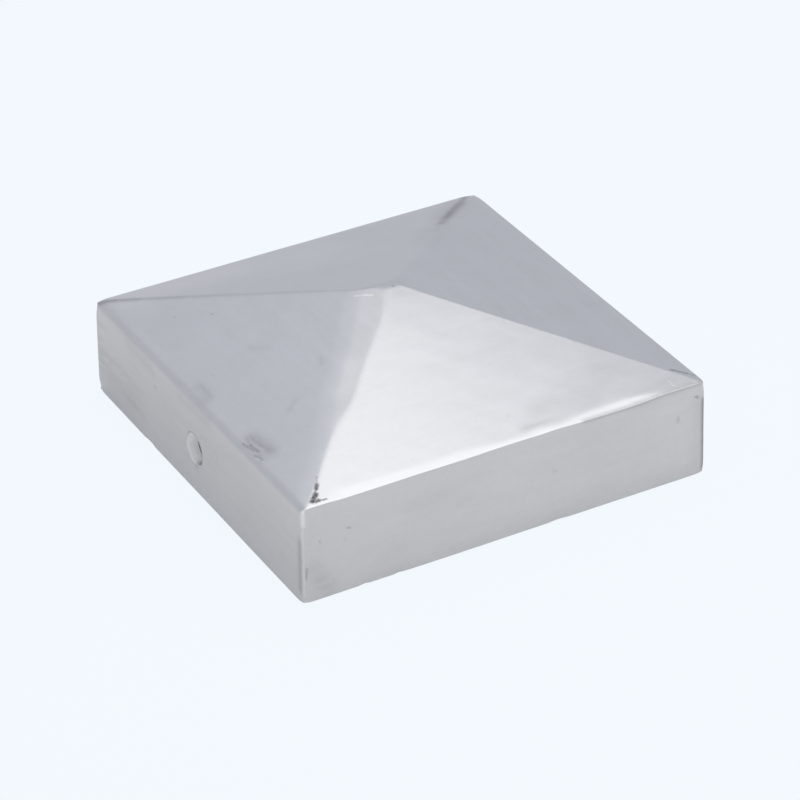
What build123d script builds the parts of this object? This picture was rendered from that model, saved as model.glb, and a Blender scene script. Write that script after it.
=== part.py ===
from build123d import *

import os
from math import cos, radians, tan

# Post cap: a square cast cap with a four-sided hipped roof, which slides over the head of a square post.
# It is one casting of even wall. The skirt leans in a little towards the top, and the roof rises in four
# slopes to a small soft crown. The hips between the slopes are narrow and a little wider near the crown.
# A ground band runs along the eave, and a plain hole in each of two opposite skirt walls takes a screw.
# The origin is the middle of the rim, +Z is up and the holes face -X and +X. Sizes are in mm and degrees.

# Post and socket
post_width = 90.0
post_clearance = 0.5
socket_corner_radius = 1.0
socket_eave_radius = 1.0
socket_crown_half_width = 3.0
socket_crown_side_half_width = 1.0

# Skirt
wall = 2.5
skirt_height = 22.05
draft_angle = 0.9
corner_radius = 0.6
rim_easing = 0.4

# Roof
roof_pitch = 16.3
band_width = 2.2
band_pitch = 25.0
band_corner_radius = 1.0
band_blend_radius = 2.5
eave_easing = 0.4
crown_half_width = 2.2
crown_flat_half_width = 0.5
crown_side_half_width = 0.25

# Screw holes
hole_diameter = 7.0
hole_height = 10.3
hole_bevel = 0.4

# How far a cutting shape reaches past the face that it cuts, and how near to a level an edge counts as on it
overcut = 1.0
level_tolerance = 0.001

# Sizes that follow from those above
draft = tan(radians(draft_angle))
slope = tan(radians(roof_pitch))
rim_half_side = post_width / 2 + post_clearance + wall
eave_half_side = rim_half_side - draft * skirt_height
band_half_side = eave_half_side - band_width
band_height = skirt_height + band_width * tan(radians(band_pitch))
roof_drop = wall / cos(radians(roof_pitch))
crown_hip_radius = crown_half_width - crown_side_half_width
crown_blend_radius = (crown_half_width - crown_flat_half_width) / tan(radians(roof_pitch / 2))
socket_crown_hip_radius = socket_crown_half_width - socket_crown_side_half_width


def skirt_half_side(height):
    """Half the outside width of the skirt at a height."""
    return rim_half_side - draft * height


def roof_height(half_side):
    """Height of the slopes' outside, at this distance from the middle line."""
    return band_height + (band_half_side - half_side) * slope


def level_outline(half_side, radius, height):
    """Level face, square with rounded corners, that closes a stack of outlines."""
    outline = RectangleRounded(2 * half_side, 2 * half_side, radius)
    return (Plane.XY.offset(height) * outline).face()


def side_edge(half_side, radius, height):
    """Straight side of a level outline, on +X."""
    reach = half_side - radius
    return Line((half_side, -reach, height), (half_side, reach, height))


def corner_edge(half_side, radius, height):
    """Rounded corner of a level outline, between +X and +Y."""
    reach = half_side - radius
    return CenterArc((reach, reach, height), radius, 0, 90)


def stacked_solid(outlines):
    """Solid through level outlines: flat faces between the sides, ruled ones between the corners."""
    faces = [level_outline(*outlines[0]), level_outline(*outlines[-1])]
    for lower, upper in zip(outlines, outlines[1:]):
        start, end = side_edge(*lower), side_edge(*upper)
        flat = make_face(Polyline(start @ 0, start @ 1, end @ 1, end @ 0, close=True)).face()
        corner = Face.make_surface_from_curves(corner_edge(*lower), corner_edge(*upper))
        for quarter in range(4):
            turn = Rot(0, 0, 90 * quarter)
            faces += [turn * flat, turn * corner]
    return Solid(Shell(faces))


def level_edges(solid, height):
    """Edges of a solid that lie level at this height."""

    def is_level(edge):
        box = edge.bounding_box()
        return max(abs(box.min.Z - height), abs(box.max.Z - height)) < level_tolerance

    return solid.edges().filter_by(is_level)


# Outside: skirt, eave band and roof through four outlines, then the crown, the band and the eave are softened
crown_height = roof_height(crown_half_width)
outside = stacked_solid(
    [
        (rim_half_side, corner_radius, 0),
        (eave_half_side, corner_radius, skirt_height),
        (band_half_side, band_corner_radius, band_height),
        (crown_half_width, crown_hip_radius, crown_height),
    ]
)
outside = fillet(level_edges(outside, crown_height), crown_blend_radius)
outside = fillet(level_edges(outside, band_height), band_blend_radius)
outside = fillet(level_edges(outside, skirt_height), eave_easing)

# Socket: the same form set in by the wall, open at the rim
socket_top_half_side = skirt_half_side(skirt_height) - wall
socket_top = roof_height(socket_top_half_side) - roof_drop
socket_crown_height = roof_height(socket_crown_half_width) - roof_drop
socket = stacked_solid(
    [
        (skirt_half_side(-overcut) - wall, socket_corner_radius, -overcut),
        (socket_top_half_side, socket_corner_radius, socket_top),
        (socket_crown_half_width, socket_crown_hip_radius, socket_crown_height),
    ]
)
socket = fillet(level_edges(socket, socket_top), socket_eave_radius)
post_cap = outside - socket
post_cap = fillet(level_edges(post_cap, 0), rim_easing)

# Screw holes: one bore through both side walls, bevelled where it leaves the skirt
hole_face = skirt_half_side(hole_height)
hole_radius = hole_diameter / 2
bore = Cylinder(hole_radius, 2 * (hole_face + overcut))
bevel = Cone(hole_radius, hole_radius + hole_bevel + overcut, hole_bevel + overcut)
bevel_middle = hole_face + (overcut - hole_bevel) / 2
post_cap -= Pos(0, 0, hole_height) * Rot(0, 90, 0) * bore
post_cap -= Pos(bevel_middle, 0, hole_height) * Rot(0, 90, 0) * bevel
post_cap -= Pos(-bevel_middle, 0, hole_height) * Rot(0, -90, 0) * bevel

os.makedirs("parts", exist_ok=True)
export_step(post_cap, "parts/post_cap.step")
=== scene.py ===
import math

import bpy
import numpy as np
from mathutils import Matrix


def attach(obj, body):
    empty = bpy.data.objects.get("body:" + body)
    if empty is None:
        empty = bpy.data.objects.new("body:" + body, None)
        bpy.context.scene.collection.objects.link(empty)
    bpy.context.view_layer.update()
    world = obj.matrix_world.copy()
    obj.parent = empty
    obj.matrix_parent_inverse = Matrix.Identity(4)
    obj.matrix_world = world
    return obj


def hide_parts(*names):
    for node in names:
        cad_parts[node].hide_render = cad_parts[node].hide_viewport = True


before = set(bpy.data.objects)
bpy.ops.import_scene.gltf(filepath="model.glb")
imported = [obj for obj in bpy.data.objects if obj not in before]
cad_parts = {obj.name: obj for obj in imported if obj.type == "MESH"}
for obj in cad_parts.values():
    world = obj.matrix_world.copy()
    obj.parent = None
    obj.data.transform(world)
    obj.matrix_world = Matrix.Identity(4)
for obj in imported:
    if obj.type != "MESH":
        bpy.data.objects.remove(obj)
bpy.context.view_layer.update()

bl_info = {
    "name": "Cast post cap",
    "version": (1, 0, 0),
    "blender": (4, 5, 0),
    "location": "View3D > Sidebar > Post cap",
    "description": "Builds the ground cast shell of a square post cap and a plain stage for it",
    "category": "Object",
}

# One millimetre in metres
MM = 0.001
# Sides of the cap in the order of the path round it: outward direction, and direction of travel
SIDES = {
    "back": ((0.0, 1.0), (-1.0, 0.0)),
    "left": ((-1.0, 0.0), (0.0, -1.0)),
    "front": ((0.0, -1.0), (1.0, 0.0)),
    "right": ((1.0, 0.0), (0.0, 1.0)),
}
# Length of pattern along each side, in mm, so that no two sides share a stretch of it
SIDE_PATTERN = 120.0
# Sides with a screw hole, and cells of the mesh across the skirt patch round it
HOLE_SIDES = ("left", "right")
HOLE_CELLS = 12
# Rings of the mesh on that patch, as shares of the way in to the hole, and in the bore, as shares of its
# length that are still to go
HOLE_RINGS = (0.25, 0.5, 0.72, 0.88, 0.96, 1.0)
BORE_RINGS = (1.0, 0.97, 0.5, 0.0)
# Rows of the mesh on the roof, in mm: half width of the first, ends of the fine rows round the tip and of
# the wider ones on the faces, and how far in from the eave the fine rows of its band start and end
TIP_ROW = 0.3
TIP_ROWS_END = 12.0
FACE_ROWS_END = 38.0
BAND_ROWS_START = 4.5
BAND_ROWS_END = 0.25
# Rows on the skirt, in mm: depth of the first under the eave, height at which the fine rows of the rim
# start outside, height of the first row inside, and height of the last one there
SKIRT_ROW = 0.6
RIM_ROWS = 1.4
INNER_RIM_ROW = 1.2
INNER_SKIRT_ROW = 18.2
# Rows under the roof: half widths of the first and the last in mm, and their number
SOCKET_ROWS = (43.0, 0.35, 26)
# Place along a side where the columns start to draw together towards the corner, in mm
FINE_COLUMNS = 38.0
# Steps of the mesh round an upright corner, its largest radius as a share of the row's half width, and the
# angle from which an edge is shaded as a sharp one
CORNER_STEPS = 8
CORNER_SHARE = 0.9
SHARP_ANGLE = math.radians(28)
# Depths under the eave between which the skirt stops following it, and the way over which the eaves of two
# sides run into each other at a corner, in mm
EAVE_FADE = (0.6, 6.0)
EAVE_BLEND = 2.0

# Roof faces, which hand grinding has left uneven: lift of the eave in mm, added pitch in degrees and growth
# of the slope on each mm of the way in
FACES = {
    "back": (0.0, 0.38, 0.0),
    "left": (0.0, 0.65, 0.0013),
    "front": (0.18, -1.34, 0.0009),
    "right": (0.14, -0.48, 0.00054),
}
# Flat ground along the front hip: distance from the middle of the cap, and how far the left face stands
# over the front face at the crease beyond what it does on the diagonal, in mm
FRONT_FLAT = (
    (0.0, 0.30), (7.0, 0.45), (16.0, 0.45), (22.0, 0.68), (25.0, 0.62),
    (29.0, 0.30), (33.0, 0.18), (42.0, 0.35), (48.0, 0.10),
)
# Ground band along the front eave: place along the eave and width of the band, in mm
FRONT_BAND = (
    (-47.6, 0.3), (-42.0, 0.8), (-38.0, 2.0), (-30.0, 1.9), (-21.0, 1.5), (-11.0, 1.7),
    (-7.0, 1.4), (-2.0, 0.8), (3.0, 0.7), (7.0, 1.3), (12.0, 0.7), (17.0, 1.4),
    (22.0, 1.7), (27.0, 1.9), (31.0, 1.7), (34.5, 1.0), (37.0, 0.2), (47.6, 0.2),
)
# Rolled edge under the right half of that band: place along the eave and width, in mm
FRONT_ROLL = ((-47.6, 0.0), (12.0, 0.0), (18.0, 0.8), (32.0, 1.0), (38.0, 0.3), (47.6, 0.2))
# Bands of the other sides: width, softness in mm and added slope
SIDE_BANDS = {"back": (0.8, 0.4, 0.10), "left": (1.2, 0.7, 0.16), "right": (0.8, 0.4, 0.10)}
# Softened edges, knocked corners and nicks: start and end of the worn line, its radius and depth, in mm
KNOCKS = (
    ((-47.65, -46.2, 22.1), (-47.65, 46.2, 22.1), 0.75, 0.40),
    ((47.6, -47.6, 22.6), (47.6, -47.6, 21.6), 1.0, 0.18),
    ((-47.6, 47.6, 22.6), (-47.6, 47.6, 21.6), 1.6, 0.30),
    ((47.6, 47.6, 22.6), (47.6, 47.6, 21.6), 2.0, 0.34),
    ((-47.6, -47.6, 22.4), (-47.6, -47.6, 21.8), 1.1, 0.20),
    ((48.0, -48.0, 0.0), (48.0, -48.0, -0.6), 1.6, 0.22),
    ((-48.0, 48.0, 0.6), (-48.0, 48.0, -0.6), 1.5, 0.35),
    ((-48.0, -48.0, 0.6), (-48.0, -48.0, -0.6), 1.2, 0.30),
    ((48.0, 48.0, 0.6), (48.0, 48.0, -0.6), 1.8, 0.50),
    ((-37.3, -47.8, 14.8), (-36.9, -47.8, 14.6), 0.5, 0.12),
    ((45.6, -47.7, 19.1), (46.0, -47.7, 19.0), 0.6, 0.15),
    ((-34.2, -48.0, 0.1), (-33.6, -48.0, 0.1), 0.6, 0.20),
    ((-26.0, -48.0, 0.1), (-25.4, -48.0, 0.1), 0.6, 0.16),
    ((11.0, -48.0, 0.1), (13.0, -48.0, 0.1), 0.8, 0.15),
    ((-48.0, 21.0, 0.1), (-48.0, 23.0, 0.1), 1.0, 0.15),
    ((48.0, -15.0, 0.1), (48.0, -13.0, 0.1), 1.0, 0.20),
    ((19.0, 48.0, 0.1), (21.0, 48.0, 0.1), 1.0, 0.20),
)


def length(name, description, millimetres):
    """A property for a length, kept in metres."""
    return bpy.props.FloatProperty(
        name=name,
        description=description,
        default=millimetres * MM,
        min=0.0,
        unit="LENGTH",
        subtype="DISTANCE",
        precision=4,
    )


def angle(name, description, degrees):
    """A property for an angle, kept in radians."""
    return bpy.props.FloatProperty(
        name=name, description=description, default=math.radians(degrees), subtype="ANGLE", unit="ROTATION"
    )


def share(name, description, value, highest=1.0):
    """A property for a plain number from nought upwards."""
    return bpy.props.FloatProperty(name=name, description=description, default=value, min=0.0, max=highest)


def colour(name, description, value):
    """A property for a linear colour."""
    return bpy.props.FloatVectorProperty(
        name=name, description=description, default=value, size=3, min=0.0, max=1.0, subtype="COLOR"
    )


class CapSizes(bpy.types.PropertyGroup):
    """Sizes of the cast shell."""

    rim_width: length("Rim width", "Outside width at the rim", 95.98)
    wall: length("Wall", "Thickness of skirt and roof", 2.5)
    skirt_height: length("Skirt height", "From the rim to the mean eave", 22.05)
    draft: angle("Draft", "Lean of the skirt walls", 0.9)
    eave_lift: length("Eave lift", "Height of the unground roof over the mean eave", 0.2)
    pitch: angle("Roof pitch", "Slope of the roof before its faces are ground", 16.05)
    tip_height: length("Tip height", "Level that the tip is ground to", 35.70)
    tip_pitch: angle("Tip pitch", "Slope of the ground spot in front of the tip", 14.8)
    tip_ease: length("Tip ease", "Height over which the tip is rounded", 0.2)
    flat_turn: share("Hip flat turn", "Turn of the front hip's flat from the front to the left roof", 0.4)
    flat_ease: length("Hip flat ease", "Rounding between the front hip's flat and the left roof", 0.6)
    front_hip_ease: length("Front hip ease", "Rounding of the front hip towards the front roof", 0.16)
    right_hip_ease: length("Right hip ease", "Rounding of the right hip", 0.14)
    back_hip_ease: length("Back hip ease", "Rounding of the left and back hips", 0.3)
    band_slope: share("Band slope", "How much steeper the ground band of the front eave is", 0.18)
    band_ease: length("Band ease", "Softness of the upper border of the front band", 0.3)
    roll_slope: share("Roll slope", "How much steeper the rolled part of the front eave is", 0.25)
    eave_radius: length("Eave radius", "Radius of the crisp eave edge", 0.3)
    corner_radius: length("Corner radius", "Upright outside corners", 0.6)
    socket_corner_radius: length("Socket corner radius", "Upright inside corners", 1.0)
    socket_eave_radius: length("Socket eave radius", "Where the inside of skirt and roof meet", 1.0)
    socket_crown: length("Socket crown", "Half the width of the rounding at the top of the socket", 3.0)
    rim_radius: length("Rim radius", "Easing of the rim's edges", 0.2)
    hole_diameter: length("Hole diameter", "Screw hole in the left and right skirt walls", 7.0)
    hole_height: length("Hole height", "Middle of the hole above the rim", 10.3)
    hole_bevel: length("Hole bevel", "Deburred edge of the hole", 0.2)
    hole_patch: length("Hole patch", "Half width of the skirt patch that the hole is set in", 6.0)
    waviness: length("Waviness", "Depth of the hand-ground undulation", 0.05)


class CapFinish(bpy.types.PropertyGroup):
    """Colours and gloss of the ground metal, and the colours of its painted shade and painted highlights.
    """

    metal: colour("Metal", "Ground aluminium", (0.580, 0.590, 0.612))
    # This colour is also the painted shade over the left skirt and along the bottom of the front skirt
    smudge_and_shade: colour("Smudge", "Dull stain in the ground surface", (0.33, 0.33, 0.335))
    # This colour is also the painted highlight down the front-left corner and the painted sheen on the left
    # eave and back roof
    bright: colour("Bright", "Burnished edges and scratches", (0.90, 0.90, 0.90))
    # This colour is also the painted shade along the hips, down the front corners and in the left screw
    # hole, and darkens the upper half of the holes' edges
    pits_and_shade: colour("Porosity", "Dark inside of pits and grooves", (0.10, 0.10, 0.105))
    casting: colour("Casting skin", "Unworked inside of the socket", (0.46, 0.465, 0.475))
    bore: colour("Bore", "Raw drilled wall of the screw holes", (0.90, 0.90, 0.90))
    roughness: share("Roughness", "Gloss of the ground metal", 0.31)
    grain: share("Grain", "Strength of the grinding lines", 0.25)
    ragged: length("Ragged", "How far the borders of marks wander", 0.9)


class StageSettings(bpy.types.PropertyGroup):
    """Camera, floor, backdrop and the even light from all sides."""

    azimuth: angle("Azimuth", "Turn of the camera to the right of the front wall", -28.812)
    elevation: angle("Elevation", "Camera above the horizon", 31.989)
    roll: angle("Roll", "Turn of the camera about its view", -0.970)
    distance: length("Distance", "Camera to its aim", 764.56)
    aim_right: length("Aim right", "Aim to the right of the rim's middle", 1.048)
    aim_up: length("Aim up", "Aim above the rim's middle", 6.256)
    lens: share("Lens", "Focal length in mm on a 36 mm sensor", 159.40, 400.0)
    backdrop: colour("Backdrop", "Pale floor and backdrop as the camera sees them", (0.893, 0.945, 0.988))
    floor: colour("Floor", "Pale floor that the lamps light", (0.905, 0.89, 0.87))
    world: colour("World", "Even light from all sides", (0.619, 0.620, 0.666))
    glow: share("Glow", "Share of the backdrop's colour that the camera sees on the floor", 0.96)
    mirror: share("Mirror", "Share of the backdrop's colour that metal and glass show", 0.3)


class Sock:
    """A socket of a node tree. Arithmetic on it adds Math nodes, and node() adds any other kind."""

    def __init__(self, tree, socket=None):
        self.tree = tree
        self.socket = socket

    def node(self, kind, settings, inputs, output=0):
        """Adds a node of this kind, with its settings and then its sockets' values or links."""
        made = self.tree.nodes.new(kind)
        for key, value in settings.items():
            setattr(made, key, value)
        for key, value in inputs.items():
            if isinstance(value, Sock):
                self.tree.links.new(value.socket, made.inputs[key])
            else:
                made.inputs[key].default_value = value
        return Sock(self.tree, made.outputs[output])

    def math(self, operation, first, second):
        """A Math node on two numbers."""
        return self.node("ShaderNodeMath", {"operation": operation}, {0: first, 1: second})

    def __add__(self, other):
        return self.math("ADD", self, other)

    def __radd__(self, other):
        return self.math("ADD", other, self)

    def __sub__(self, other):
        return self.math("SUBTRACT", self, other)

    def __rsub__(self, other):
        return self.math("SUBTRACT", other, self)

    def __mul__(self, other):
        return self.math("MULTIPLY", self, other)

    def __rmul__(self, other):
        return self.math("MULTIPLY", other, self)

    def most(self, other):
        """The larger of two numbers."""
        return self.math("MAXIMUM", self, other)

    def least(self, other):
        """The smaller of two numbers."""
        return self.math("MINIMUM", self, other)

    def ramp(self, low, high):
        """Nought below low, one above high and smooth between."""
        return self.faded(low, high, 0.0, 1.0)

    def faded(self, low, high, at_low, at_high):
        """One number below low, the other above high and smooth between."""
        return self.node(
            "ShaderNodeMapRange",
            {"interpolation_type": "SMOOTHSTEP", "clamp": False},
            {"Value": self, "From Min": low, "From Max": high, "To Min": at_low, "To Max": at_high},
        )

    def vector(self, operation, other=None, output=0):
        """Vector maths on this vector, with another one where the operation takes two."""
        inputs = {0: self} if other is None else {0: self, 1: other}
        return self.node("ShaderNodeVectorMath", {"operation": operation}, inputs, output)

    def scaled(self, vector):
        """A vector or colour times this number."""
        return self.node("ShaderNodeVectorMath", {"operation": "SCALE"}, {0: vector, "Scale": self})

    def noise(self, scale, detail=2.0, roughness=0.5, distortion=0.0):
        """Noise at this place, about a half on average."""
        inputs = {"Scale": scale, "Detail": detail, "Roughness": roughness, "Distortion": distortion}
        return self.node("ShaderNodeTexNoise", {}, {"Vector": self, **inputs}, "Fac")

    def mix(self, first, second):
        """Mixes two colours by this factor."""
        start, end = (side if isinstance(side, Sock) else (*side, 1.0) for side in (first, second))
        # Inputs 6 and 7 and output 2 are the node's sockets for colours
        return self.node("ShaderNodeMix", {"data_type": "RGBA"}, {0: self, 6: start, 7: end}, 2)


def fillet_arc(before, corner, after, radius, steps):
    """Points of the arc that rounds a profile's corner, from the side of before to the side of after.

    The arc touches both legs at radius * tan(turn / 2) from the corner, and turns evenly between them.
    """
    before, corner, after = (np.asarray(p, float) for p in (before, corner, after))
    to_before = (before - corner) / np.linalg.norm(before - corner)
    to_after = (after - corner) / np.linalg.norm(after - corner)
    opening = np.arccos(np.clip(to_before @ to_after, -1, 1))
    middle = to_before + to_after
    centre = corner + middle / np.linalg.norm(middle) * radius / np.sin(opening / 2)
    first = corner + to_before * radius / np.tan(opening / 2) - centre
    last = corner + to_after * radius / np.tan(opening / 2) - centre
    turn = np.pi - opening
    t = np.linspace(0, 1, steps + 1)[:, None]
    return centre + (np.sin((1 - t) * turn) * first + np.sin(t * turn) * last) / np.sin(turn)


def eased_min(first, second, ease):
    """The lower of two heights, rounded where they are within ease of each other.

    The rounding takes (ease - difference) squared / (4 * ease) off the crest.
    """
    lap = np.clip(ease - np.abs(first - second), 0, None)
    return np.minimum(first, second) - lap * lap / (4 * ease)


def eave_height(sizes):
    """Height of the unground eave, in mm."""
    return (sizes.skirt_height + sizes.eave_lift) / MM


def eave_half_width(sizes):
    """Half the width of the cap at the eave, in mm."""
    return sizes.rim_width / MM / 2 - math.tan(sizes.draft) * eave_height(sizes)


def soft_step(value, low, high):
    """Nought below low, one above high and smooth between."""
    t = np.clip((value - low) / (high - low), 0, 1)
    return t * t * (3 - 2 * t)


def roof_field(x, y, sizes):
    """Height of the roof over each place in plan before its eaves are ground, in mm.

    Four faces rise from the eave square, and the roof is the lowest of them with eased hips. Each face
    rises by its slope times the way in, and half the growth of the slope times its square. The flat along
    the front hip leaves the front face at its crease and turns a share of the way towards the left face. A
    slightly flatter spot in front of the tip and the level of the tip cut the top off.
    """
    eave = eave_height(sizes)
    reach = eave_half_width(sizes)

    def face(name, inwards):
        lift, turn, growth = FACES[name]
        slope = math.tan(sizes.pitch + math.radians(turn))
        return eave + lift + slope * inwards + 0.5 * growth * inwards * inwards

    front, back = face("front", reach + y), face("back", reach - y)
    left, right = face("left", reach + x), face("right", reach - x)
    away = np.clip(-0.5 * (x + y), 0, None)
    crease = face("left", reach - away) - face("front", reach - away)
    flat = front + sizes.flat_turn * (left - front - crease - np.interp(away, *zip(*FRONT_FLAT)))
    roof = eased_min(left, flat, sizes.flat_ease / MM)
    roof = eased_min(roof, front, sizes.front_hip_ease / MM)
    roof = eased_min(roof, right, sizes.right_hip_ease / MM)
    roof = eased_min(roof, back, sizes.back_hip_ease / MM)
    tip = sizes.tip_height / MM
    spot = tip + y * math.tan(sizes.tip_pitch)
    return eased_min(eased_min(roof, spot, sizes.tip_ease / MM), tip, sizes.tip_ease / MM)


def near_eave(height, sizes):
    """One at the eave and over it, and nought from a little way down the skirt."""
    full, gone = EAVE_FADE
    return soft_step(height, eave_height(sizes) - gone, eave_height(sizes) - full)


def eave_cut(points, sizes):
    """How far the ground eaves lie under the roof planes at each point, in mm.

    On each side the slope grows by that side's added slope within the band, and the cut is
    added * ease * log(1 + exp((width - distance from the eave) / ease)). At the corners the sides run into
    each other over a few mm. Below the eave the cut fades out down the skirt.
    """
    x, y, z = points.T
    plan = points[:, :2]
    inwards = np.clip(eave_half_width(sizes) - np.maximum(np.abs(x), np.abs(y)), 0, None)

    def bevel(width, ease, added):
        return added * ease * np.log1p(np.exp((width - inwards) / ease))

    ease = sizes.band_ease / MM
    roll = sizes.roll_slope
    cuts = {name: bevel(*band) for name, band in SIDE_BANDS.items()}
    cuts["front"] = bevel(np.interp(x, *zip(*FRONT_BAND)), ease, sizes.band_slope)
    cuts["front"] += bevel(np.interp(x, *zip(*FRONT_ROLL)), ease, roll) - bevel(0.0, ease, roll)
    total = np.zeros_like(x)
    for name, depth in cuts.items():
        out, on = (np.array(way) for way in SIDES[name])
        total += depth * soft_step(plan @ out - np.abs(plan @ on), -EAVE_BLEND, EAVE_BLEND)
    return total * near_eave(z, sizes)


def spaced(first, last, spacing_first, spacing_last):
    """Numbers from first to last whose spacing runs evenly from one value to the other, last left out."""
    count = max(2, round(2 * abs(last - first) / (spacing_first + spacing_last)))
    t = np.linspace(0, 1, count + 1)
    weight = spacing_first * t + 0.5 * (spacing_last - spacing_first) * t * t
    return (first + (last - first) * weight / weight[-1])[:-1]


def cap_profile(sizes):
    """Rows of the shell from the tip down the outside, round the rim and up the inside, in mm.

    Returns half width, height, corner radius, whether the row is inside, the number of roof rows, and the
    first rows of the hole patches. The roof rows get their height later, from their places in plan.
    """
    rim = sizes.rim_width / MM / 2
    wall = sizes.wall / MM
    top = eave_height(sizes)
    draft = math.tan(sizes.draft)
    slope = math.tan(sizes.pitch)
    eave_half = eave_half_width(sizes)
    patch_low = (sizes.hole_height - sizes.hole_patch) / MM
    patch_high = (sizes.hole_height + sizes.hole_patch) / MM

    def skirt(height, inset=0.0):
        return np.stack([rim - inset - draft * height, height], 1)

    half = np.concatenate(
        [
            spaced(TIP_ROW, TIP_ROWS_END, 0.3, 0.5),
            spaced(TIP_ROWS_END, FACE_ROWS_END, 0.6, 0.9),
            spaced(FACE_ROWS_END, eave_half - BAND_ROWS_START, 0.9, 0.4),
            spaced(eave_half - BAND_ROWS_START, eave_half - BAND_ROWS_END, 0.3, 0.17),
        ]
    )
    roof = np.stack([half, top + (eave_half - half) * slope], 1)
    eave = fillet_arc(roof[-1], (eave_half, top), (rim, 0), sizes.eave_radius / MM, steps=6)
    low = sizes.rim_radius / MM
    skirt_rows = [
        skirt(spaced(top - SKIRT_ROW, patch_high, 0.4, 1.0)),
        skirt(np.linspace(patch_high, patch_low, HOLE_CELLS + 1)),
        skirt(spaced(patch_low, RIM_ROWS, 1.0, 0.5)[1:]),
        skirt(np.linspace(RIM_ROWS, 2 * low, 4)),
    ]
    rim_outer = fillet_arc((eave_half, top), (rim, 0), (0, 0), low, steps=5)
    rim_flat = np.array([[rim - wall / 2, 0.0]])
    rim_inner = fillet_arc((rim, 0), (rim - wall, 0), (eave_half - wall, top), low, steps=4)
    socket_half = eave_half - wall
    plane = top + eave_half * slope - wall / math.cos(sizes.pitch)
    socket_top = plane - socket_half * slope
    inner_rows = [
        skirt(np.linspace(INNER_RIM_ROW, patch_low, 4)[:-1], wall),
        skirt(np.linspace(patch_low, patch_high, HOLE_CELLS + 1), wall),
        skirt(np.array([INNER_SKIRT_ROW]), wall),
    ]
    bend = sizes.socket_eave_radius / MM
    inner_eave = fillet_arc((rim - wall, 0), (socket_half, socket_top), (0, plane), bend, steps=5)
    inner_half = np.linspace(*SOCKET_ROWS)
    crown = sizes.socket_crown / MM
    under = plane - slope * np.hypot(inner_half, crown)
    inner_roof = np.stack([inner_half, under], 1)
    outside = [roof, eave, *skirt_rows, rim_outer]
    inside = [rim_flat, rim_inner, *inner_rows, inner_eave, inner_roof]
    rows = np.concatenate(outside + inside)
    count_out = sum(len(part) for part in outside)
    is_inside = np.arange(len(rows)) >= count_out
    first_patch = len(roof) + len(eave) + len(skirt_rows[0])
    inner_patch = count_out + len(rim_flat) + len(rim_inner) + len(inner_rows[0])
    corner = np.where(is_inside, sizes.socket_corner_radius / MM, sizes.corner_radius / MM)
    radius = np.minimum(corner, CORNER_SHARE * rows[:, 0])
    return rows[:, 0], rows[:, 1], radius, is_inside, len(roof), first_patch, inner_patch


def side_columns(sizes):
    """Places of the columns along a straight side, from -1 to 1, and the first column of the hole patch."""
    reach = sizes.rim_width / MM / 2 - sizes.corner_radius / MM
    patch = sizes.hole_patch / MM
    middle_cells = HOLE_CELLS // 2
    right = np.concatenate(
        [
            np.arange(middle_cells) * patch / middle_cells,
            spaced(patch, FINE_COLUMNS, 1.1, 1.4),
            spaced(FINE_COLUMNS, reach, 1.1, 0.3),
            [reach],
        ]
    )
    places = np.concatenate([-right[:0:-1], right]) / reach
    return places, len(places) // 2 - middle_cells


def shell_grid(half, height, radius, places):
    """Points and pattern coordinates of a rounded square carried through the profile.

    For each row the path runs along each straight side at its half width, then round a quarter circle of
    the row's corner radius: centre + radius * (cos t * outward + sin t * onward). The last column repeats
    the first.
    """
    t = np.linspace(0, np.pi / 2, CORNER_STEPS + 1)[1:-1]
    points, pattern = [], []
    for index, (outward, onward) in enumerate(SIDES.values()):
        out, on = np.array(outward), np.array(onward)
        end = half - radius
        along = end[:, None] * places[None]
        side = half[:, None, None] * out + along[..., None] * on
        quarter = np.cos(t)[:, None] * out + np.sin(t)[:, None] * on
        arc = end[:, None, None] * (out + on) + radius[:, None, None] * quarter
        bend = end[:, None] + (SIDE_PATTERN - 2 * end)[:, None] * (t / (np.pi / 2))[None]
        points += [side, arc]
        pattern += [along + index * SIDE_PATTERN, bend + index * SIDE_PATTERN]
    flat = np.concatenate(points, 1)
    flat = np.concatenate([flat, flat[:, :1]], 1)
    u = np.concatenate(pattern, 1)
    u = np.concatenate([u, u[:, :1] + 4 * SIDE_PATTERN], 1)
    tall = np.broadcast_to(height[:, None, None], (*flat.shape[:2], 1))
    step = np.hypot(np.diff(half), np.diff(height))
    v = np.broadcast_to(np.concatenate(([0.0], np.cumsum(step)))[:, None], u.shape)
    return np.concatenate([flat, tall], 2), np.stack([u, v], 2)


def side_ways(name):
    """Directions out of a side and along it, in space."""
    return (np.array([*way, 0.0]) for way in SIDES[name])


def patch_loop(first_row, first_column, width):
    """Flat indices round the edge of a hole patch, and how far down and across each lies, from -1 to 1."""
    along = np.arange(HOLE_CELLS)
    still = 0 * along
    row = np.concatenate([still, along, still + HOLE_CELLS, HOLE_CELLS - along])
    column = np.concatenate([along, still + HOLE_CELLS, HOLE_CELLS - along, still])
    loop = (first_row + row) * width + first_column + column
    return loop, row / HOLE_CELLS * 2 - 1, column / HOLE_CELLS * 2 - 1


class ShellParts:
    """Vertices, pattern coordinates, inside mask and quads of the shell, to which rings are added."""

    def __init__(self, points, uvs, inside):
        self.points = [points]
        self.uvs = [uvs]
        self.inside = [inside]
        self.quads = []
        self.count = len(points)

    def add_ring(self, last, points, uvs, inside):
        """Adds a closed ring of vertices and the quads from the ring before it, and returns its indices."""
        ring = self.count + np.arange(len(points))
        self.points.append(points)
        self.uvs.append(uvs)
        self.inside.append(np.full(len(points), float(inside)))
        self.quads.append(np.stack([last, ring, np.roll(ring, -1), np.roll(last, -1)], 1))
        self.count += len(points)
        return ring


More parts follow.
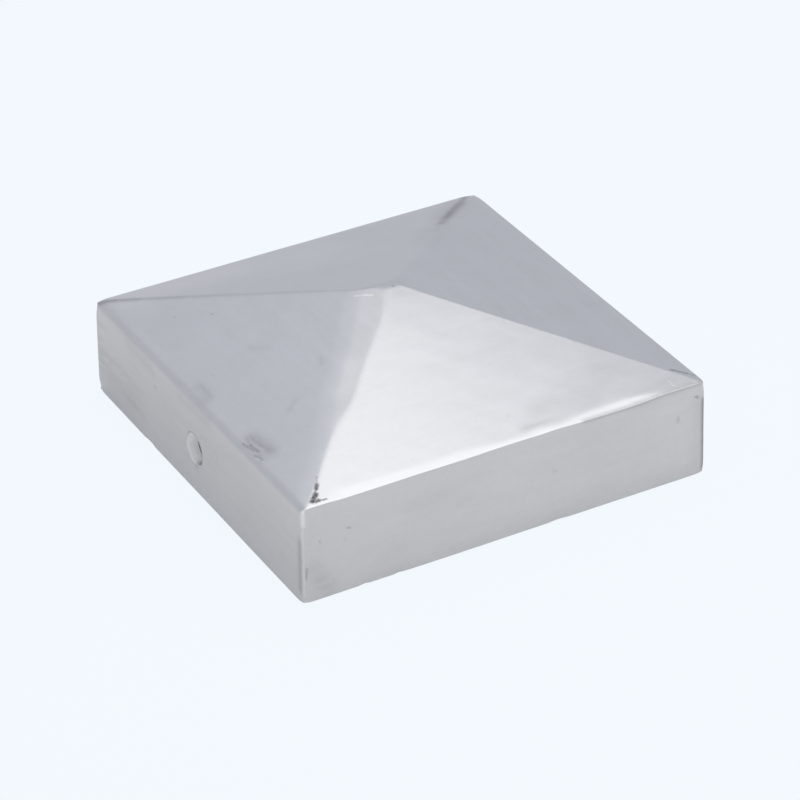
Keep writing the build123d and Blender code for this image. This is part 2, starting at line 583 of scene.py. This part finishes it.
def wall_rings(parts, loop, down, across, name, edge, turn, sizes):
    """Rings on a skirt wall from the square left open to a hole's edge, and the edge's angles and places.

    Each ring lies at square + s * (circle - square). The wall leans, so the circle's distance out falls
    with its height as the square's does. The turn is -1 outside, where the rows run down, and 1 inside.
    """
    out, on = side_ways(name)
    tilt = np.arctan2(turn * down, across)
    square, square_uv = parts.points[0][loop], parts.uvs[0][loop]
    wall_half = square @ out
    fall = (wall_half.max() - wall_half.min()) / (square[:, 2].max() - square[:, 2].min())
    base = wall_half[0] + fall * square[0, 2]
    z = sizes.hole_height / MM + edge * np.sin(tilt)
    circle = (base - fall * z)[:, None] * out + (edge * np.cos(tilt))[:, None] * on
    circle[:, 2] = z
    circle_uv = square_uv.mean(0) + np.stack([edge * np.cos(tilt), turn * edge * np.sin(tilt)], 1)
    last = loop
    for s in HOLE_RINGS:
        ring_uv = square_uv + s * (circle_uv - square_uv)
        last = parts.add_ring(last, square + s * (circle - square), ring_uv, turn > 0)
    return last, tilt, circle


def bore_rings(parts, last, tilt, circle, name, sizes):
    """Rings from the outer edge of a hole down its bevel and through the wall to the inside.

    Each ring lies at mouth * s + inner wall * (1 - s) along the bore, at the hole's radius.
    """
    out, on = side_ways(name)
    hole = sizes.hole_diameter / MM / 2
    z = np.sin(tilt) * hole + sizes.hole_height / MM
    mouth = circle @ out - sizes.hole_bevel / MM
    inner_wall = sizes.rim_width / MM / 2 - sizes.wall / MM - math.tan(sizes.draft) * z
    for s in BORE_RINGS:
        place = mouth * s + inner_wall * (1 - s)
        at = place[:, None] * out + (np.cos(tilt) * hole)[:, None] * on
        at[:, 2] = z
        last = parts.add_ring(last, at, np.stack([np.unwrap(tilt) * hole, place], 1), False)


def cap_mesh(sizes):
    """Vertices, quads, triangles, pattern coordinates and inside mask of the whole closed shell, in mm.

    The eave and the top of the skirt follow the lift of the lowest roof row. The grid of the shell leaves a
    square open round each hole on both faces of the wall, which rings close. A fan of triangles closes each
    end of the grid, at the tip and under it.
    """
    half, height, radius, is_inside, roof_rows, outer_row, inner_row = cap_profile(sizes)
    places, patch_column = side_columns(sizes)
    grid, pattern = shell_grid(half, height, radius, places)
    grid[:roof_rows, :, 2] = roof_field(grid[:roof_rows, :, 0], grid[:roof_rows, :, 1], sizes)
    lift = grid[roof_rows - 1, :, 2] - height[roof_rows - 1]
    follow = near_eave(height, sizes) * (1 - is_inside)
    grid[roof_rows:, :, 2] += follow[roof_rows:, None] * lift
    rows, columns = grid.shape[:2]
    inside = np.repeat(is_inside.astype(float), columns)
    parts = ShellParts(grid.reshape(-1, 3), pattern.reshape(-1, 2), inside)

    keep = np.ones((rows - 1, columns - 1), bool)
    columns_a_side = len(places) + CORNER_STEPS - 1
    hole = sizes.hole_diameter / MM / 2
    # First row of the patch, radius of the hole's edge and turn, outside and inside
    walls = ((outer_row, hole + sizes.hole_bevel / MM, -1), (inner_row, hole, 1))
    for name in HOLE_SIDES:
        column = list(SIDES).index(name) * columns_a_side + patch_column
        edges = []
        for row, edge, turn in walls:
            keep[row : row + HOLE_CELLS, column : column + HOLE_CELLS] = False
            loop = patch_loop(row, column, columns)
            edges.append(wall_rings(parts, *loop, name, edge, turn, sizes))
        bore_rings(parts, *edges[0], name, sizes)

    j, i = np.nonzero(keep)
    at = j * columns + i
    quads = [*parts.quads, np.stack([at, at + columns, at + columns + 1, at + 1], 1)]
    tips = np.array([[0, 0, float(roof_field(0.0, 0.0, sizes))], [0, 0, height[-1]]])
    points = [*parts.points, tips]
    uvs = [*parts.uvs, np.zeros((2, 2))]
    masks = [*parts.inside, np.array([0.0, 1.0])]
    ring = np.arange(columns - 1)
    low = (rows - 1) * columns + ring
    triangles = [
        np.stack([np.full_like(ring, parts.count), ring, ring + 1], 1),
        np.stack([np.full_like(ring, parts.count + 1), low + 1, low], 1),
    ]
    return tuple(np.concatenate(arrays) for arrays in (points, quads, triangles, uvs, masks))


def distance_to(points, start, end):
    """Distance of each point from the straight line between two places."""
    along = end - start
    t = np.clip((points - start) @ along / (along @ along), 0, 1)
    return np.linalg.norm(points - start - t[:, None] * along, axis=1)


def worn_depth(points, inside, depth):
    """How far each point of the outside is worn in, in mm.

    Slow waves across the faces and a quicker, shallower ripple, with the knocks as bells of the distance to
    their lines. Each wave is a sine of the place over a length in mm, bent by another sine.
    """
    x, y, z = points.T
    slow = (
        np.sin(x / 5.3 + 0.7 * np.sin(y / 9.0 + 1.0))
        + np.sin(y / 6.1 + 0.8 * np.sin(x / 8.0) + 2.0)
        + np.sin((x - y) / 8.7 + z / 5.0 + 0.4)
    )
    quick = np.sin(x / 1.7 + np.sin(y / 3.1)) * np.sin(y / 1.9 + np.sin(x / 2.7) + z / 1.6)
    # Three slow waves add up to between -3 and 3, so their part runs from nought to the depth
    worn = depth * (0.5 + slow / 6 + 0.12 * quick)
    for start, end, size, deep in KNOCKS:
        worn += deep * np.exp(-((distance_to(points, np.array(start), np.array(end)) / size) ** 2))
    return worn * (1 - inside)


def build_mesh(name, points, quads, triangles, uvs, inside):
    """A mesh of quads and triangles, with points at one place merged and the pattern as its UV map."""
    _, first, place = np.unique(np.round(points, 5), axis=0, return_index=True, return_inverse=True)
    place = place.ravel()
    corners = np.concatenate([quads.ravel(), triangles.ravel()])
    sizes = np.concatenate([np.full(len(quads), 4), np.full(len(triangles), 3)])
    mesh = bpy.data.meshes.new(name)
    mesh.vertices.add(len(first))
    mesh.vertices.foreach_set("co", (points[first] * MM).ravel())
    mesh.loops.add(len(corners))
    mesh.loops.foreach_set("vertex_index", place[corners].astype(np.int32))
    mesh.polygons.add(len(sizes))
    starts = np.concatenate(([0], np.cumsum(sizes)[:-1]))
    mesh.polygons.foreach_set("loop_start", starts.astype(np.int32))
    layer = mesh.uv_layers.new(name="grinding")
    layer.data.foreach_set("uv", (uvs[corners] * MM).ravel())
    mesh.update(calc_edges=True)
    mesh.validate()
    return mesh, points[first], inside[first]


def paint(mesh, name, values):
    """Keeps one number for each vertex under a name that a material can read."""
    layer = mesh.attributes.new(name, "FLOAT", "POINT")
    layer.data.foreach_set("value", values.astype(np.float32))


def on_surface(place, sizes):
    """A place in space, from one in space or from one in plan on the roof. Sizes are in mm."""
    if len(place) == 3:
        return np.array(place)
    return np.array([*place, float(roof_field(*place, sizes))])


def broad_mark_field(points, broad_lines, sizes):
    """Strength of a table of broad marks at each point: stains, smears, painted shade and painted sheen.

    Each mark is a bell of the distance to its line, strength * exp(-(distance / half width) squared), and
    the strongest one counts.
    """
    field = np.zeros(len(points))
    for start, end, half_width, strength in broad_lines:
        distance = distance_to(points, on_surface(start, sizes), on_surface(end, sizes))
        field = np.maximum(field, strength * np.exp(-((distance / half_width) ** 2)))
    return field


def wear_mesh(mesh, points, inside, sizes):
    """Grinds the eaves down and moves the outside inwards along its normals by the worn depth."""
    ground = points.copy()
    ground[:, 2] -= eave_cut(points, sizes) * (1 - inside)
    mesh.vertices.foreach_set("co", (ground * MM).ravel())
    mesh.update()
    normals = np.empty(len(points) * 3, np.float32)
    mesh.vertex_normals.foreach_get("vector", normals)
    moved = ground - worn_depth(ground, inside, sizes.waviness / MM)[:, None] * normals.reshape(-1, 3)
    moved[:, 2] = np.maximum(moved[:, 2], 0.0)
    mesh.vertices.foreach_set("co", (moved * MM).ravel())
    mesh.shade_smooth()
    mesh.set_sharp_from_angle(angle=SHARP_ANGLE)
    mesh.update()


# Share of a fine mark's half width that has its full strength
MARK_CORE = 0.2


def line_mask(place, start, end, half_width, strength):
    """The strength on a line, falling smoothly to nought at the half width from it. Sizes are in mm."""
    a, along = start * MM, (end - start) * MM
    offset = place.vector("SUBTRACT", tuple(a))
    t = offset.vector("DOT_PRODUCT", tuple(along / (along @ along)), "Value")
    distance = offset.vector("DISTANCE", t.least(1.0).most(0.0).scaled(tuple(along)), "Value")
    return distance.faded(MARK_CORE * half_width * MM, half_width * MM, strength, 0.0)


# Fine marks: start, end, half width and strength. Sizes are in mm, and places on the roof are in plan.
DARK_MARKS = (
    ((-40.4, -40.8), (-41.1, -42.4), 0.40, 0.30),
    ((-41.4, -42.8), (-42.0, -43.7), 0.70, 0.80),
    ((-42.3, -44.0), (-42.7, -44.6), 0.45, 0.60),
    ((-42.8, -44.9), (-44.4, -46.4), 0.85, 0.90),
    ((-44.0, -46.5), (-42.9, -46.6), 0.65, 0.85),
    ((-42.5, -46.7), (-41.4, -46.8), 0.45, 0.65),
    # Painted shade along the right hip near the front-right corner
    ((43.0, -41.9), (45.6, -43.7), 0.7, 0.50),
    ((45.6, -43.7), (46.8, -44.8), 0.6, 0.30),
    ((-46.4, -20.2), (-45.8, -24.0), 0.5, 0.32),
    ((-45.6, -21.8), (-45.2, -25.2), 0.5, 0.30),
    ((-46.2, -25.4), (-45.8, -28.0), 0.5, 0.26),
    ((-31.6, 22.1), (-31.8, 22.1), 0.5, 0.22),
    ((0.0, 0.2), (0.1, 0.0), 0.5, 0.35),
    ((-37.4, -47.8, 14.9), (-36.8, -47.8, 14.6), 0.40, 0.26),
    ((-43.7, -47.8, 13.8), (-43.6, -47.8, 13.6), 0.45, 0.25),
    ((45.4, -47.7, 19.4), (46.0, -47.7, 18.9), 0.5, 0.42),
    ((41.1, -47.8, 15.4), (41.1, -47.8, 14.6), 0.7, 0.18),
    ((-46.8, -47.9, 8.3), (-47.1, -47.9, 5.8), 0.45, 0.32),
    ((-47.7, 18.5, 16.1), (-47.7, 18.4, 15.9), 0.5, 0.30),
)
LIGHT_MARKS = (
    ((-46.9, -25.3), (-45.9, -28.6), 0.35, 0.35),
    ((-8.2, 1.6), (-5.1, -0.2), 0.35, 0.40),
    ((40.4, -44.7), (40.8, -46.3), 0.35, 0.25),
    ((45.4, -46.9), (47.0, -47.1), 0.50, 0.30),
    # Painted highlight down the front-left upright corner, from the eave to near the rim
    ((-47.3, -47.4, 22.1), (-47.3, -47.5, 21.5), 0.60, 0.60),
    ((-47.25, -47.6, 21.7), (-47.25, -47.7, 18.6), 0.75, 0.40),
    ((-47.4, -47.75, 18.6), (-47.6, -47.9, 1.5), 0.4, 0.22),
)
# Broad marks in the same form: dark stains and painted shade, patches of painted sheen, and dull smears and
# painted shade
STAINS_AND_SHADE = (
    # Painted shade along the hip at the back-right corner, on the back roof's side, fading towards the tip
    ((45.3, 47.2), (41.2, 42.9), 1.0, 0.42),
    ((41.2, 42.9), (36.8, 38.8), 1.4, 0.50),
    ((36.8, 38.8), (33.0, 35.0), 1.4, 0.54),
    ((33.0, 35.0), (30.0, 31.9), 1.3, 0.38),
    ((30.0, 31.9), (26.0, 27.8), 1.2, 0.12),
    ((41.5, 44.8), (32.0, 35.8), 2.6, 0.12),
    ((32.0, 35.8), (20.0, 22.5), 2.6, 0.06),
    # Painted shade along the left hip, fading towards the tip
    ((-47.6, 47.2), (-44.2, 44.1), 0.8, 0.40),
    ((-44.2, 44.1), (-40.5, 40.3), 0.8, 0.30),
    ((-40.5, 40.3), (-33.2, 32.6), 0.8, 0.18),
    ((-33.2, 32.6), (-25.3, 23.9), 0.8, 0.09),
    ((-25.3, 23.9), (-12.0, 8.8), 0.8, 0.04),
    # Darker along the right half of the front eave's edge
    ((18.0, -47.45), (30.0, -47.4), 0.50, 0.28),
    ((30.0, -47.4), (46.5, -47.3), 0.65, 0.32),
    ((-31.3, 5.5), (-28.7, 2.3), 0.6, 0.08),
    ((-22.7, -9.6), (-23.5, -11.9), 0.6, 0.10),
    ((-32.4, -17.2), (-35.2, -18.8), 0.6, 0.10),
    # Painted shade down the left side of the front-left upright corner
    ((-47.9, -46.8, 14.5), (-48.0, -46.9, 3.0), 0.8, 0.30),
    # Painted shade down the front-right upright corner
    ((47.5, -47.7, 18.0), (47.8, -47.9, 1.5), 0.8, 0.60),
    ((46.4, -47.7, 18.0), (46.6, -47.9, 3.0), 2.2, 0.08),
    # Painted shade in the lower front part of the left screw hole's bore
    ((-46.6, -0.6, 6.9), (-45.4, -2.6, 7.9), 1.1, 0.75),
    ((-47.7, 31.4, 19.9), (-47.7, 19.7, 19.6), 1.4, 0.07),
    ((-47.7, 6.3, 20.0), (-47.7, -7.3, 20.8), 1.2, 0.08),
)
# Painted sheen: painted light that brightens the back roof towards its left end and the roof side of the
# left eave
PAINTED_SHEEN = (
    ((-41.0, 44.0), (-18.0, 42.0), 8.0, 0.17),
    ((-18.0, 42.0), (0.0, 38.0), 9.0, 0.10),
    ((-46.5, -44.0), (-46.5, 44.0), 1.4, 0.08),
    ((-46.2, 18.0), (-46.2, 45.0), 1.6, 0.10),
)
SMEARS_AND_SHADE = (
    ((-44.7, 2.9), (-44.9, -1.5), 1.8, 0.42),
    ((-44.3, -20.4), (-44.2, -26.5), 2.2, 0.55),
    ((11.0, -42.0), (22.0, -42.3), 2.6, 0.20),
    ((15.5, -44.5), (5.5, -45.1), 1.2, 0.20),
    # Painted shade over the whole left skirt
    ((-47.8, -40.0, 11.0), (-47.8, 30.0, 11.0), 14.0, 0.10),
    ((-47.8, 32.0, 10.5), (-47.8, 47.0, 10.5), 9.5, 0.28),
    ((-22.6, -47.8, 15.0), (-13.3, -47.8, 15.6), 1.6, 0.09),
    ((-12.4, -47.8, 12.3), (-9.1, -47.8, 12.2), 1.1, 0.09),
    ((-45.0, -47.9, 7.5), (-42.0, -48.0, 1.0), 2.6, 0.22),
    # Painted shade along the bottom of the front skirt, where it meets the floor
    ((-46.0, -47.9, 1.0), (20.0, -48.0, 1.0), 1.7, 0.07),
)
# Broad marks under the name by which the material reads them
BROAD_MARKS = {"stain_and_shade": STAINS_AND_SHADE, "painted_sheen": PAINTED_SHEEN, "smear_and_shade": SMEARS_AND_SHADE}
# Patterns of the metal: repeats on each metre along and across the grinding, or in all directions
LINE_REPEATS = (90.0, 1500.0, 1.0)
STREAK_REPEATS = (40.0, 260.0, 1.0)
MOTTLE_REPEATS = 70.0
SPECK_REPEATS = 330.0
SPECKLE_REPEATS = 650.0
WANDER_REPEATS = 1300.0
SKIN_REPEATS = 1500.0
MARK_REPEATS = 1800.0
# Height of the grain of the metal, in metres
GRAIN_HEIGHT = 0.00003
# Ways out from the edge of a screw hole over which the raw bore ends and the darker band round the upper
# half of the edge starts and ends, and heights over the hole's middle between which that band grows, in mm
BORE_END = (0.02, 0.12)
UPPER_EDGE_START = (0.30, 0.45)
UPPER_EDGE_END = (0.5, 0.8)
UPPER_EDGE_RISE = (1.0, 3.0)


def joined(place, marks, sizes):
    """The strongest of several fine marks at each place."""
    whole = None
    for start, end, half_width, strength in marks:
        one = line_mask(place, on_surface(start, sizes), on_surface(end, sizes), half_width, strength)
        whole = one if whole is None else whole.most(one)
    return whole


def hole_masks(place, sizes):
    """Masks of the raw bore of the screw holes, and of a darker band round the upper half of their edges.
    """
    across = place.vector("MULTIPLY", (0.0, 1.0, 1.0)).vector("SUBTRACT", (0.0, 0.0, sizes.hole_height))
    from_axis = across.vector("LENGTH", output="Value")
    height = place.node("ShaderNodeSeparateXYZ", {}, {"Vector": place}, "Z")

    def past(ways):
        return from_axis.ramp(*(sizes.hole_diameter / 2 + way * MM for way in ways))

    upper = height.ramp(*(sizes.hole_height + rise * MM for rise in UPPER_EDGE_RISE))
    return 1.0 - past(BORE_END), past(UPPER_EDGE_START) * (1.0 - past(UPPER_EDGE_END)) * upper


def ground_metal(finish, sizes):
    """Material of hand-ground cast aluminium.

    Grinding lines run along the faces over slow mottling. Fine marks have ragged borders, broad ones come
    with the mesh, and the bore and the casting skin inside are raw. Among the marks are painted shade along
    the hips, down the front corners, in the left screw hole, over the left skirt and along the bottom of
    the front skirt, and a painted highlight down the front-left corner with painted sheen on the left eave
    and back roof.
    """
    material = bpy.data.materials.new("ground_aluminium")
    material.use_nodes = True
    tree = material.node_tree
    shader = tree.nodes["Principled BSDF"]
    new = Sock(tree)
    place = new.node("ShaderNodeTexCoord", {}, {}, "Object")
    uv = new.node("ShaderNodeUVMap", {"uv_map": "grinding"}, {})
    skin, stain_and_shade, painted_sheen, smear_and_shade = (
        new.node("ShaderNodeAttribute", {"attribute_name": name}, {}, "Fac")
        for name in ("casting_skin", *BROAD_MARKS)
    )
    bore, upper_edge_dark = hole_masks(place, sizes)

    # Patterns of the surface
    lines = uv.vector("MULTIPLY", LINE_REPEATS).noise(1.0, 3.0, 0.6, 0.2)
    streaks = uv.vector("MULTIPLY", STREAK_REPEATS).noise(1.0, 4.0, 0.6, 0.5)
    mottle = place.noise(MOTTLE_REPEATS, 4.0, 0.6, 0.5)
    speckle = place.noise(SPECKLE_REPEATS, 2.0, 0.6)
    specks = place.noise(SPECK_REPEATS, 1.0, 0.4).ramp(0.74, 0.84)
    pits = place.noise(SKIN_REPEATS, 3.0, 0.7)

    # Dark marks and painted shade, light marks with painted highlights and sheen, and dull smears and
    # painted shade
    noise = {"Vector": place, "Scale": WANDER_REPEATS, "Detail": 4.0}
    wander = new.node("ShaderNodeTexNoise", {}, noise, "Color").vector("SUBTRACT", (0.5, 0.5, 0.5))
    ragged = place.vector("ADD", wander.vector("MULTIPLY", (finish.ragged,) * 3))
    fine = joined(ragged, DARK_MARKS, sizes) * (0.55 + 0.9 * place.noise(MARK_REPEATS, 2.0, 0.6))
    broad = stain_and_shade * (0.75 + 0.5 * speckle)
    dark = fine.most(broad).most(0.10 * specks).most(0.3 * upper_edge_dark)
    light = joined(ragged, LIGHT_MARKS, sizes).most(painted_sheen)
    dull_and_shade = smear_and_shade * (0.3 + 1.4 * streaks.ramp(0.35, 0.70))

    # Colour, gloss and relief
    tone = 0.93 + 0.05 * lines + 0.11 * (mottle + streaks - 1.0) + 0.05 * speckle
    base = dull_and_shade.mix(tone.scaled(tuple(finish.metal)), tuple(finish.smudge_and_shade))
    base = light.mix(base, tuple(finish.bright))
    base = skin.mix(base, tuple(finish.casting))
    base = bore.mix(base, tuple(finish.bore))
    base = dark.mix(base, tuple(finish.pits_and_shade))
    rough = finish.roughness + 0.10 * (mottle - 0.5) + 0.08 * (streaks - 0.5) + 0.12 * dull_and_shade
    rough = rough + 0.2 * dark + 0.2 * skin + 0.25 * bore
    relief = 0.6 * lines + 0.5 * speckle + 6.0 * skin * pits
    bump = {"Strength": finish.grain, "Distance": GRAIN_HEIGHT, "Height": relief}
    grain = new.node("ShaderNodeBump", {}, bump)
    tree.links.new(base.socket, shader.inputs["Base Color"])
    tree.links.new(rough.socket, shader.inputs["Roughness"])
    tree.links.new((1.0 - 0.9 * bore).socket, shader.inputs["Metallic"])
    tree.links.new(grain.socket, shader.inputs["Normal"])
    return material


class POSTCAP_OT_shell(bpy.types.Operator):
    """Builds the cast shell of the cap with its ground metal."""

    bl_idname = "post_cap.shell"
    bl_label = "Build cast shell"

    def execute(self, context):
        sizes = context.scene.cap_sizes
        mesh, points, inside = build_mesh("cap_shell", *cap_mesh(sizes))
        paint(mesh, "casting_skin", inside)
        for name, marks in BROAD_MARKS.items():
            paint(mesh, name, broad_mark_field(points, marks, sizes) * (1 - inside))
        wear_mesh(mesh, points, inside, sizes)
        shell = bpy.data.objects.new("cap_shell", mesh)
        context.scene.collection.objects.link(shell)
        mesh.materials.append(ground_metal(context.scene.cap_finish, sizes))
        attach(shell, "root")
        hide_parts("post_cap")
        return {"FINISHED"}


# Lamps: place, aim and size in mm, spin about the aim in degrees, radiance and tint
LAMPS = {
    "overhead_softbox": {
        "place": (31.0, -178.0, 271.0),
        "aim": (-30.0, -162.0, 0.0),
        "size": (432.0, 507.0),
        "spin": 31.0,
        "radiance": 1.05,
        "tint": (1.0, 0.972, 0.92),
    },
    "back_fill": {
        "place": (50.0, 630.0, 735.0),
        "aim": (0.0, 0.0, 20.0),
        "size": (320.0, 420.0),
        "spin": 0.0,
        "radiance": 0.23,
        "tint": (1.0, 0.99, 0.98),
    },
}
# Half the width of the floor and the camera's range, in metres
FLOOR_REACH = 3.0
CAMERA_RANGE = 20.0
# Width of the camera's sensor, and of the border of the floor's opening under the cap, in mm
SENSOR_WIDTH = 36.0
OPENING_BORDER = 0.5


def add_softbox(scene, name, place, aim, size, spin, radiance, tint):
    """A rectangular lamp turned to its aim and spun about it, with the same radiance whatever its size."""
    lamp = bpy.data.lights.new(name, "AREA")
    lamp.shape = "RECTANGLE"
    lamp.size, lamp.size_y = size[0] * MM, size[1] * MM
    lamp.energy = radiance * math.pi * lamp.size * lamp.size_y
    lamp.color = tint
    holder = bpy.data.objects.new(name, lamp)
    back = np.array(place) - np.array(aim)
    back /= np.linalg.norm(back)
    right = np.cross((0.0, 1.0, 0.0), back)
    right /= np.linalg.norm(right)
    aimed = Matrix(np.stack([right, np.cross(back, right), back], 1).tolist()).to_4x4()
    spun = aimed @ Matrix.Rotation(math.radians(spin), 4, "Z")
    holder.matrix_world = Matrix.Translation([c * MM for c in place]) @ spun
    scene.collection.objects.link(holder)


def light_path(new, kind):
    """One for rays of this kind and nought for others."""
    return new.node("ShaderNodeLightPath", {}, {}, f"Is {kind} Ray")


def shown(new):
    """One for the rays in which metal and glass show their surroundings."""
    return light_path(new, "Glossy") + light_path(new, "Transmission")


def pale_floor(stage, sizes):
    """Material of the floor, which takes a shadow and is open from below and under the cap's hollow."""
    material = bpy.data.materials.new("pale_floor")
    material.use_nodes = True
    tree = material.node_tree
    new = Sock(tree)
    sides = new.node("ShaderNodeTexCoord", {}, {}, "Object").vector("ABSOLUTE")
    x, y = (new.node("ShaderNodeSeparateXYZ", {}, {"Vector": sides}, axis) for axis in "XY")
    mouth = sizes.rim_width / 2 - sizes.wall
    clear = x.most(y).ramp(mouth - OPENING_BORDER * MM, mouth)
    camera = light_path(new, "Camera")
    seen = clear * (camera * stage.glow + shown(new) * stage.mirror)
    diffuse = new.node("ShaderNodeBsdfDiffuse", {}, {"Color": (*stage.floor, 1.0)})
    glow = new.node("ShaderNodeEmission", {}, {"Color": (*stage.backdrop, 1.0), "Strength": 1.0})
    pale = new.node("ShaderNodeMixShader", {}, {0: seen, 1: diffuse, 2: glow})
    below = new.node("ShaderNodeNewGeometry", {}, {}, "Backfacing")
    gap = below.most((1.0 - clear) * (1.0 - camera))
    through = new.node("ShaderNodeBsdfTransparent", {}, {})
    surface = new.node("ShaderNodeMixShader", {}, {0: gap, 1: pale, 2: through})
    tree.links.new(surface.socket, tree.nodes["Material Output"].inputs["Surface"])
    return material


def add_floor(scene, stage, sizes):
    """A flat floor in the plane that the rim stands on."""
    mesh = bpy.data.meshes.new("floor")
    corners = [(FLOOR_REACH * x, FLOOR_REACH * y, 0) for x, y in ((-1, -1), (1, -1), (1, 1), (-1, 1))]
    mesh.from_pydata(corners, [], [(0, 1, 2, 3)])
    mesh.materials.append(pale_floor(stage, sizes))
    floor = bpy.data.objects.new("floor", mesh)
    scene.collection.objects.link(floor)


def set_world(scene, stage):
    """Even light from all sides, with the backdrop's colour where the camera sees it."""
    world = bpy.data.worlds.new("studio")
    scene.world = world
    world.use_nodes = True
    tree = world.node_tree
    new = Sock(tree)
    seen = light_path(new, "Camera") + shown(new) * stage.mirror
    tint = seen.mix(tuple(stage.world), tuple(stage.backdrop))
    back = tree.nodes["Background"]
    tree.links.new(tint.socket, back.inputs["Color"])
    back.inputs["Strength"].default_value = 1.0


def add_camera(scene, stage):
    """The camera at its azimuth, elevation and distance from its aim, rolled about its view."""
    camera = bpy.data.cameras.new("camera")
    camera.lens = stage.lens
    camera.sensor_width = SENSOR_WIDTH
    camera.clip_end = CAMERA_RANGE
    holder = bpy.data.objects.new("camera", camera)
    a, e, r = stage.azimuth, stage.elevation, stage.roll
    back = np.array([math.sin(a) * math.cos(e), -math.cos(a) * math.cos(e), math.sin(e)])
    level = np.array([math.cos(a), math.sin(a), 0.0])
    upright = np.cross(back, level)
    right = math.cos(r) * level + math.sin(r) * upright
    up = -math.sin(r) * level + math.cos(r) * upright
    eye = right * stage.aim_right + up * stage.aim_up + back * stage.distance
    turn = Matrix(np.stack([right, up, back], 1).tolist()).to_4x4()
    holder.matrix_world = Matrix.Translation(eye.tolist()) @ turn
    scene.collection.objects.link(holder)
    scene.camera = holder


class POSTCAP_OT_stage(bpy.types.Operator):
    """Sets the floor, the lamps, the world and the camera."""

    bl_idname = "post_cap.stage"
    bl_label = "Set the stage"

    def execute(self, context):
        scene = context.scene
        scene.view_settings.view_transform = "Standard"
        add_floor(scene, scene.cap_stage, scene.cap_sizes)
        for name, lamp in LAMPS.items():
            add_softbox(scene, name, **lamp)
        set_world(scene, scene.cap_stage)
        add_camera(scene, scene.cap_stage)
        return {"FINISHED"}


class POSTCAP_PT_panel(bpy.types.Panel):
    """Lists the steps that build the cap."""

    bl_idname = "POSTCAP_PT_panel"
    bl_label = "Post cap"
    bl_space_type = "VIEW_3D"
    bl_region_type = "UI"
    bl_category = "Post cap"

    def draw(self, context):
        self.layout.operator(POSTCAP_OT_shell.bl_idname)
        self.layout.operator(POSTCAP_OT_stage.bl_idname)


CLASSES = (CapSizes, CapFinish, StageSettings, POSTCAP_OT_shell, POSTCAP_OT_stage, POSTCAP_PT_panel)
GROUPS = {"cap_sizes": CapSizes, "cap_finish": CapFinish, "cap_stage": StageSettings}


def register():
    for cls in CLASSES:
        bpy.utils.register_class(cls)
    for name, group in GROUPS.items():
        setattr(bpy.types.Scene, name, bpy.props.PointerProperty(type=group))


def unregister():
    for name in GROUPS:
        delattr(bpy.types.Scene, name)
    for cls in reversed(CLASSES):
        bpy.utils.unregister_class(cls)


def main():
    register()
    bpy.ops.post_cap.shell()
    bpy.ops.post_cap.stage()


if __name__ == "__main__":
    main()
